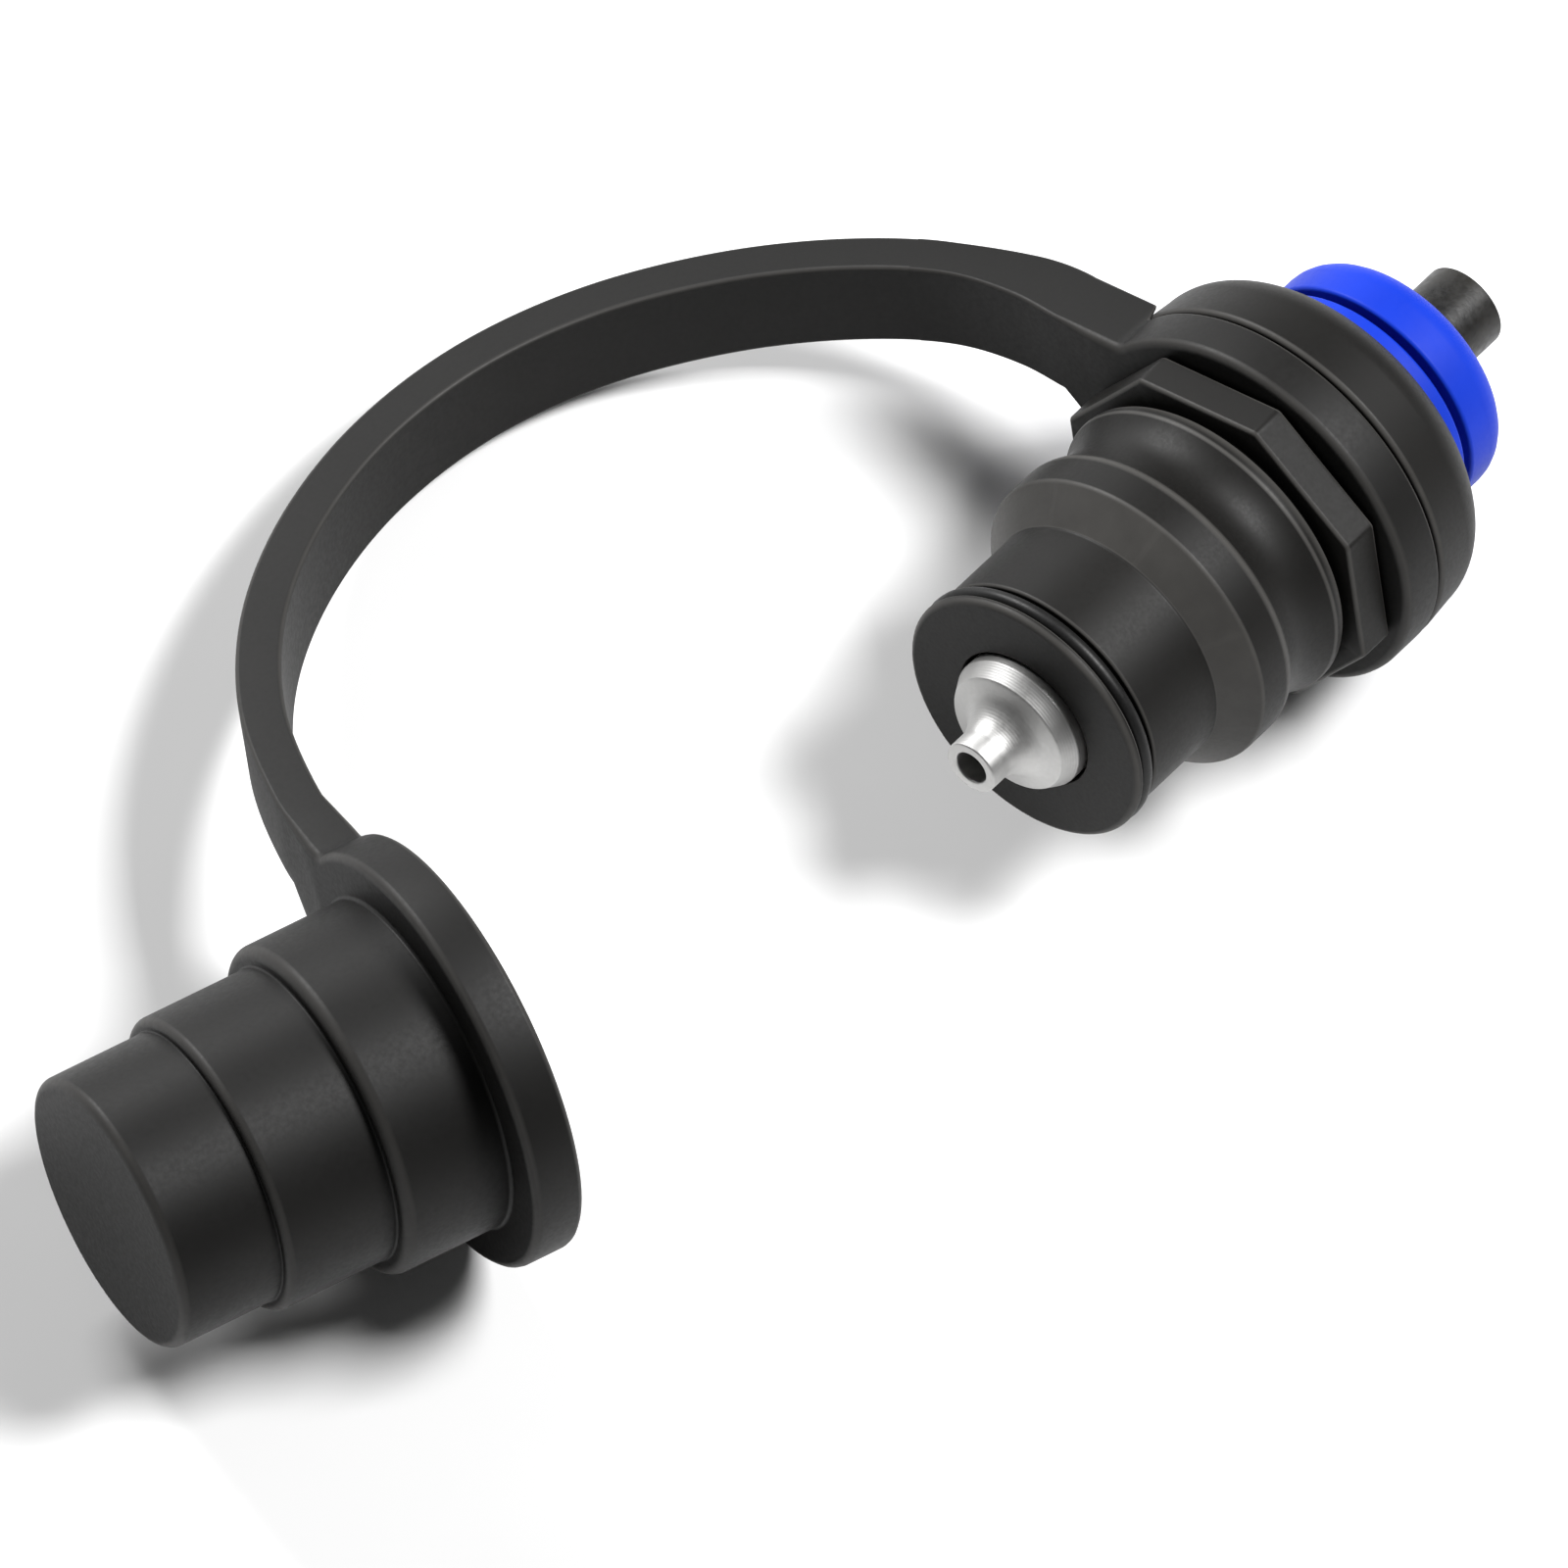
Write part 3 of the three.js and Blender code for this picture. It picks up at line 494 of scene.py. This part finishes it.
tube = [(-28.8, 2.75, 0.12), (-28.8, 4.05, 0.2), (-7.3, 4.05, 0.35), (-7.3, 2.75, 0.1)]
turnedPiece("tube", tube, blackNylon, "plug", ["tube_stub"], smoothness["smallSides"])
print("housing, button and tube made")

# the strap follows the part's own middle line, a piece for each hinge it bends at
strap = {
    "thickness": 4.06, "width": 8.7, "rise": 8.8, "edge": 0.4, "links": 6, "eyeStub": 15.0, "capStub": 13.0,
    "bendReach": 6.0, "lookAround": 6, "edgeFacets": 4, "acrossFacets": 6,
    "tabTop": 20.0, "tabFrom": 3.0, "tabSpan": 2.4,  # where a disc thickens or thins into the strap
    "route": [
        (0, -12), (-0.1, -18.5), (-0.5, -25), (0.6, -32), (4.8, -40), (12.1, -48.6), (22, -56), (33, -60.4),
        (45, -61.6), (57, -59.6), (68, -54.8), (77, -47.6), (83.6, -38.6), (87.5, -30.8)],
}


# a smooth line through the points, as in the part
def centripetalCurve(points, perSpan=60):
    points = [Vector(point) for point in points]
    padded = [2 * points[0] - points[1], *points, 2 * points[-1] - points[-2]]
    line = []
    for before, start, end, after in zip(padded, padded[1:], padded[2:], padded[3:]):
        first, span, last = (math.sqrt((b - a).length) for a, b in ((before, start), (start, end), (end, after)))
        slope = (end - start) / span
        leave = ((start - before) / first - (end - before) / (first + span) + slope) * span
        arrive = (slope - (after - start) / (span + last) + (after - end) / last) * span
        for step in range(perSpan):
            t = step / perSpan
            line.append(start * (2 * t ** 3 - 3 * t ** 2 + 1) + end * (3 * t ** 2 - 2 * t ** 3)
                        + leave * (t ** 3 - 2 * t ** 2 + t) + arrive * (t ** 3 - t ** 2))
    line.append(points[-1])
    return line


routeLine = centripetalCurve(strap["route"])
routeRun = [0.0]
for lastPoint, nextPoint in zip(routeLine, routeLine[1:]):
    routeRun.append(routeRun[-1] + (nextPoint - lastPoint).length)
linkLength = (routeRun[-1] - strap["eyeStub"] - strap["capStub"]) / strap["links"]


# the strap's middle and sideways direction, this far along it
def strapAt(run):
    index = min(max(sum(1 for r in routeRun if r < run) - 1, 0), len(routeLine) - 2)
    share = (run - routeRun[index]) / (routeRun[index + 1] - routeRun[index])
    here = routeLine[index].lerp(routeLine[index + 1], share)
    before = routeLine[max(index - strap["lookAround"], 0)]
    after = routeLine[min(index + strap["lookAround"] + 1, len(routeLine) - 1)]
    way = (after - before).normalized()
    return here, Vector((-way.y, way.x))


# (across, height, paleness) round the strap's section; the paleness on the rounded corners is edge wear and a
# painted highlight
def strapSection():
    half, low = strap["thickness"] / 2, strap["rise"] - strap["width"] / 2
    high, edge = low + strap["width"], strap["edge"]
    section = []
    for across, height, start in ((half, high, 0), (-half, high, 90), (-half, low, 180), (half, low, 270)):
        centre = (across - math.copysign(edge, across), height - math.copysign(edge, height - strap["rise"]))
        for step in range(strap["edgeFacets"] + 1):
            turn = math.radians(start + 90 * step / strap["edgeFacets"])
            wearSheenPale = math.sin(math.pi * step / strap["edgeFacets"])
            section.append((centre[0] + edge * math.cos(turn), centre[1] + edge * math.sin(turn), wearSheenPale))
    return section


def runsBetween(start, end):
    steps = smoothness["lengthSteps"]
    return [start + (end - start) * step / steps for step in range(steps + 1)]


def sharpenRim(face):
    for edge in face.edges:
        edge.smooth = False


# bends a piece evenly over the hinge this far along the strap
def bendOver(piece, bodies, hinge, nodes):
    nearPoint, _ = strapAt(hinge - strap["bendReach"])
    farPoint, _ = strapAt(hinge + strap["bendReach"])
    start, end = (inRow((*point, strap["rise"])) for point in (nearPoint, farPoint))
    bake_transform(piece, *bodies, start=start, end=end)
    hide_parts(*nodes)


bodiesAlong = ["strap_eye", *[f"strap_{link}" for link in range(1, strap["links"] + 1)], "cap"]
hingeAt = [strap["eyeStub"] + linkLength * link for link in range(strap["links"] + 1)]
cutAt = [(first + second) / 2 for first, second in zip(hingeAt, hingeAt[1:])]


def strapPiece(link):
    section = strapSection()
    rings = []
    for run in runsBetween(cutAt[link - 1], cutAt[link]):
        here, side = strapAt(run)
        rings.append([(*(here + side * across), height) for across, height, _ in section])
    bm = skinOf(rings, False)
    bm.verts.ensure_lookup_table()
    # the strap's rounded corners are painted paler: edge wear and a painted highlight
    edgeWearSheen = bm.verts.layers.float["edgeWearSheen"]
    for vert in bm.verts:
        vert[edgeWearSheen] = section[vert.index % len(section)][2]
    for end in (bm.verts[:len(section)], bm.verts[-len(section):]):
        sharpenRim(bm.faces.new(end))
    piece = pieceFrom(f"strap_{link + 1}", bm, strapRubber)
    bendOver(piece, bodiesAlong[link:link + 2], hingeAt[link], [f"strap_link_{link + 1}"])


for link in range(1, strap["links"]):
    strapPiece(link)


# (point, way out) round a disc with a tab for the strap: from the tab's low corner round the disc to its
# high corner, which is at the second value's place, and back down the tab's end
def tabbedOutline(disc):
    low, high = strap["rise"] - strap["width"] / 2, strap["rise"] + strap["width"] / 2
    radius, reach = disc["radius"], disc["reach"]
    filletSteps, discSides = smoothness["filletSteps"], smoothness["discSides"]

    def fillet(height, size, out):
        centreZ = height + out * size
        centre = Vector((-math.sqrt((radius + size) ** 2 - centreZ ** 2), centreZ))
        onDisc = -centre.normalized() * size
        onTab = Vector((0, -out * size))
        turn = onTab.angle_signed(onDisc)
        spokes = [Matrix.Rotation(-turn * step / filletSteps, 2) @ onTab for step in range(filletSteps + 1)]
        return [(centre + spoke, -spoke.normalized()) for spoke in spokes]

    lowFillet = fillet(low, disc["lowFillet"], -1)
    highFillet = fillet(high, disc["highFillet"], 1)[::-1]
    outline = [(Vector((-reach, low)), Vector((0, -1)))]
    outline += lowFillet
    first = math.atan2(lowFillet[-1][0].y, lowFillet[-1][0].x)
    last = math.atan2(highFillet[0][0].y, highFillet[0][0].x) + 2 * math.pi
    for step in range(1, discSides):
        angle = first + (last - first) * step / discSides
        way = Vector((math.cos(angle), math.sin(angle)))
        outline.append((way * radius, way))
    outline += highFillet
    filletEnd = highFillet[-1][0].x
    outline += [(Vector((filletEnd + (-reach - filletEnd) * share, high)), Vector((0, 1)))
                for share in smoothness["tabShares"]]
    corner = len(outline) - 1
    for step in range(1, strap["acrossFacets"]):
        height = high + (low - high) * step / strap["acrossFacets"]
        outline.append((Vector((-reach, height)), Vector((0, 0))))
    return outline, corner


def smooth(share):
    share = min(max(share, 0.0), 1.0)
    return share * share * (3 - 2 * share)


# how much thicker than the rest the strap's outer side is, this far along it: it stands out behind the eye
def thickerBy(disc, run):
    start, end = disc["thickTo"]
    return disc["thicker"] * (1 - smooth((run - start) / (end - start)))


# 0 on the disc, 1 at the tab's end
def tabShareOf(disc, point):
    if point.x > 0 or not 0 < point.y < strap["tabTop"]:
        return 0.0
    return smooth((-point.x - disc["radius"] + strap["tabFrom"])
                  / (disc["reach"] - disc["radius"] + strap["tabSpan"]))


discShape = {"fan": (2.0, 7.0), "rimInset": 0.6, "thickFade": 0.5}  # facets fan out from a point off the middle


# a ring of a disc's skin and how pale it is painted (edge wear and a painted highlight), from ("round", x,
# radius, paleness) on a circle, ("rim", x, radius) under the outline or ("edge", side, lean) on the outline's
# rounded edge
def discRing(disc, outline, entry, startX, startRun):
    kind = entry[0]
    if kind == "round":
        fan = Vector(discShape["fan"])
        angles = [math.atan2(point.y - fan.y, point.x - fan.x) for point, _ in outline]
        return ringAt(entry[1], entry[2], angles), entry[3]
    if kind == "rim":
        inset = discShape["rimInset"]
        return [(entry[1], *(point.normalized() * min(entry[2], point.length - inset)))
                for point, _ in outline], 0
    side, lean = entry[1], math.radians(entry[2])
    ring = []
    for point, out in outline:
        tabShare = tabShareOf(disc, point)
        edge = disc["edges"][0 if side < 0 else 1] * (1 - tabShare) + strap["edge"] * tabShare
        half = disc["thickness"] / 2 * (1 - tabShare) + strap["thickness"] / 2 * tabShare
        x = startX * tabShare + side * (half - edge + edge * math.sin(lean))
        if side < 0:
            x -= thickerBy(disc, startRun) * smooth((point.length - disc["radius"]) / discShape["thickFade"])
        flat = point - out * edge * (1 - math.cos(lean))
        ring.append((x, flat.x, flat.y))
    return ring, math.sin(2 * lean)


# a disc and the stretch of strap that grows from its tab; way is 1 where the strap leaves the disc along its run
def discPiece(name, disc, place, runs, way):
    outline, corner = tabbedOutline(disc)
    startHere, _ = strapAt(runs[0])
    startX = (place.inverted() @ Vector((*startHere, 0))).x
    kinds = [entry[0] for entry in disc["section"]]
    ringsAndWearSheens = [discRing(disc, outline, entry, startX, runs[0]) for entry in disc["section"]]
    rings = [[tuple(place @ Vector(point)) for point in ring] for ring, _ in ringsAndWearSheens]

    def openEnd(row, side):
        after = (row + 1) % len(kinds)
        return side >= corner and kinds[row] == kinds[after] == "edge"

    bm = skinOf(rings, disc["loop"], openEnd, [edgeWearSheen for _, edgeWearSheen in ringsAndWearSheens])
    mouth = [edge for edge in bm.edges if len(edge.link_faces) == 1]
    lastHere = (place @ Vector((startX, -disc["reach"], 0))).xy
    lastSide = (place.to_3x3() @ Vector((1, 0, 0))).xy
    half, lastThicker = strap["thickness"] / 2, thickerBy(disc, runs[0])
    for run in runs[1:]:
        here, side = strapAt(run)
        side = side * way
        thicker = thickerBy(disc, run)
        grown = bmesh.ops.extrude_edge_only(bm, edges=mouth)["geom"]
        for vert in (item for item in grown if isinstance(item, bmesh.types.BMVert)):
            share = (half - (vert.co.xy / mm - lastHere) @ lastSide) / (2 * half + lastThicker)
            vert.co.xy = (here + side * (half - share * (2 * half + thicker))) * mm
        mouth = [item for item in grown if isinstance(item, bmesh.types.BMEdge)
                 and len(item.link_faces) == 1]
        lastHere, lastSide, lastThicker = here, side, thicker
    for face in bmesh.ops.contextual_create(bm, geom=mouth)["faces"]:
        sharpenRim(face)
    return pieceFrom(name, bm, strapRubber)


# both of a disc's rounded edges, by how far each ring leans out
def edgeEntries(leans=(90, 60, 30, 0)):
    return [("edge", -1, lean) for lean in leans] + [("edge", 1, lean) for lean in reversed(leans)]


# how far along the strap is level with the end of a disc's tab, near a guess
def runAtTab(place, disc, guess, within=12):
    toPlace = place.inverted()
    return min((run for run in routeRun if abs(run - guess) < within),
               key=lambda run: abs((toPlace @ Vector((*strapAt(run)[0], 0))).y + disc["reach"]))


tabFromEnd = 8.0  # about how far from the strap's end a tab ends


eye = {
    "radius": 18.1, "reach": 19.8, "thickness": 4.4, "edges": (0.35, 0.8), "lowFillet": 0.9, "highFillet": 1.8,
    "loop": True, "thicker": 2.0, "thickTo": (8.0, 21.0),
    "section": [
        ("round", -2.0, 12.45, 0), ("round", -2.2, 12.65, 0), ("rim", -2.2, 18.12), *edgeEntries(),
        ("round", 2.2, 12.75, 0), ("round", 1.9, 12.45, 0)],
}
eyePlace = Matrix.Identity(4)
eyeRuns = runsBetween(runAtTab(eyePlace, eye, tabFromEnd), cutAt[0])
strapRoot = discPiece("strap_1_with_eye", eye, eyePlace, eyeRuns, 1)
bendOver(strapRoot, bodiesAlong[:2], hingeAt[0], ["strap_eye", "strap_link_1"])

# dust cap: a flange with a tab for the strap, three steps, hollow inside
cap = {
    "middle": (92.4, -16.7), "turn": -20.6,
    "radius": 19.7, "reach": 21.5, "thickness": 4.8, "edges": (0.6, 0.8), "lowFillet": 1.0, "highFillet": 1.6,
    "loop": False, "thicker": 0.0, "thickTo": (0.0, 1.0),
    "outside": [(2.4, 15.6, 0.35), (12.8, 15.6, 1.1), (12.8, 13.9, 0.2), (23.6, 13.9, 0.8), (23.6, 12.8, 0.15),
                (33.6, 12.8, 0.9), (33.6, 0.0)],
    "inside": [(-2.4, 13.9, 0.5), (11.1, 13.9, 0.8), (11.1, 12.2, 0.6), (21.9, 12.2, 0.5), (21.9, 11.1, 0.4),
               (31.2, 11.1, 1.0), (31.2, 0.0)],
}


# the flange's faces lead into the inside and the outside
def capSection():
    face, onFace = cap["thickness"] / 2, 18.0
    inside = roundedOutline([(-face, onFace)] + cap["inside"], False)[1:]
    outside = roundedOutline([(face, onFace)] + cap["outside"], False)[1:]
    return ([("round", *point) for point in reversed(inside)] + edgeEntries()
            + [("round", *point) for point in outside])


cap["section"] = capSection()
capPlace = Matrix.Translation((*cap["middle"], 0)) @ Matrix.Rotation(math.radians(cap["turn"]), 4, "Z")
capRuns = runsBetween(runAtTab(capPlace, cap, routeRun[-1] - tabFromEnd), cutAt[-1])
dustCap = discPiece("strap_7_with_dust_cap", cap, capPlace, capRuns, -1)
bendOver(dustCap, bodiesAlong[-2:], hingeAt[-1], ["dust_cap"])
print("strap and dust cap made")

# pieces kept from the part as they are, with their finishes
keptFinish = {
    "valve_guide": whiteAcetal, "backup_washer": whiteAcetal,
    "guide_circlip": springSteel, "grab_ring": springSteel}
for node, finish in keptFinish.items():
    for materialSlot in frame["nodes"][node].material_slots:
        materialSlot.material = finish

# floor, lights, camera
studio = {
    "lens": 1200, "frameWidth": 136, "target": (-41.3, -24.9), "clipEnd": 50,
    "right": (-0.6250, 0.7724, -0.1150), "up": (-0.5840, -0.3647, 0.7250),
    "worldColour": (1, 1, 1), "worldStrength": 0.08,
    "floorReach": 6.0, "floorBelow": 0.0003, "floorColour": (0.72, 0.72, 0.72), "floorPale": 1.02,
    "floorPatches": 40, "floorRoughness": 0.9, "floorShine": 0.1,
    "lights": {  # way from the object as seen by the camera (right, up, towards it), metres, metres across, watts
        "key": ((0.58, 0.43, 0.66), 1.0, 0.32, 16.0),
        "left": ((-0.45, 0.87, 0.22), 1.0, 0.35, 13.0),
    },
}


# the camera's right, up and backward ways
def viewAxes():
    right = (plugFrame.to_3x3() @ Vector(studio["right"])).normalized()
    up = plugFrame.to_3x3() @ Vector(studio["up"])
    back = right.cross(up).normalized()
    return right, back.cross(right), back


def addCamera():
    right, up, back = viewAxes()
    target = plugFrame.translation + right * studio["target"][0] * mm + up * studio["target"][1] * mm
    data = bpy.data.cameras.new("camera")
    data.lens = studio["lens"]
    data.clip_end = studio["clipEnd"]
    camera = bpy.data.objects.new("camera", data)
    scene.collection.objects.link(camera)
    camera.matrix_world = Matrix((right, up, back)).transposed().to_4x4()
    distance = studio["frameWidth"] * mm * studio["lens"] / data.sensor_width
    camera.location = target + back * distance
    scene.camera = camera


def addLights():
    right, up, back = viewAxes()
    low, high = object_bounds()
    middle = (low + high) / 2
    for name, (way, distance, across, watts) in studio["lights"].items():
        lamp = bpy.data.lights.new(name, "AREA")
        lamp.size = across
        lamp.energy = watts
        lampObject = bpy.data.objects.new(name, lamp)
        scene.collection.objects.link(lampObject)
        toLamp = (right * way[0] + up * way[1] + back * way[2]).normalized()
        lampObject.location = middle + toLamp * distance
        lampObject.rotation_mode = "QUATERNION"
        lampObject.rotation_quaternion = toLamp.to_track_quat("Z", "Y")
    world = bpy.data.worlds.new("studio")
    scene.world = world
    world.use_nodes = True
    background = world.node_tree.nodes["Background"]
    background.inputs["Color"].default_value = (*studio["worldColour"], 1)
    background.inputs["Strength"].default_value = studio["worldStrength"]


def addFloor():
    mesh = bpy.data.meshes.new("floor")
    reach, level = studio["floorReach"], cadBox[0].z - studio["floorBelow"]
    corners = [(-reach, -reach, level), (reach, -reach, level), (reach, reach, level), (-reach, reach, level)]
    mesh.from_pydata(corners, [], [(0, 1, 2, 3)])
    floor = bpy.data.objects.new("floor", mesh)
    scene.collection.objects.link(floor)
    paper = Nodes("paper")
    tone = paper.spread(paper.noise(studio["floorPatches"]), 0, 1)
    colour = studio["floorColour"]
    paler = tuple(part * studio["floorPale"] for part in colour)
    paper.join(paper.blendColours(tone, colour, paler), paper.shader.inputs["Base Color"])
    paper.shader.inputs["Roughness"].default_value = studio["floorRoughness"]
    paper.shader.inputs["Specular IOR Level"].default_value = studio["floorShine"]
    mesh.materials.append(paper.material)


addCamera()
addLights()
addFloor()
scene.view_settings.view_transform = "Standard"
print("studio made")
